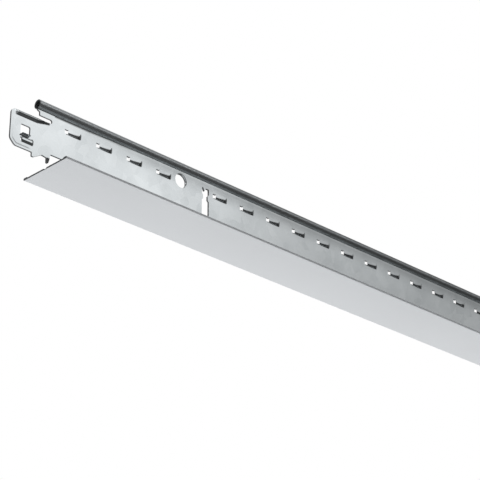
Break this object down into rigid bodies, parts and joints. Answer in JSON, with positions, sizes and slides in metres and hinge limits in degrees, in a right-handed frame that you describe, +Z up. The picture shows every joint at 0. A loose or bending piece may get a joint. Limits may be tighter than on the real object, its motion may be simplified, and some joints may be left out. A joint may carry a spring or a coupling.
{
  "type": "ceiling grid main tee",
  "caption": "Roll-formed main tee for a suspended ceiling grid: hemmed face, slotted and stitched double web, hollow top bulb and integral end connectors.",
  "frame": {"origin": "centre of the exposed face at mid-length, where the tee rests on a floor", "axes": "+X along the tee, +Z up from the exposed face through the web to the bulb, +Y across the flange; the stitches are raised towards -Y"},
  "size_m": [3.6316, 0.024, 0.026],
  "materials": {
    "galvanised_steel": "galvanised, satin",
    "coated_face": "smooth coil coating, satin"
  },
  "bodies": {
    "root": {"tee_body": "galvanised_steel", "face_cap": "coated_face"}
  },
  "joints": []
}
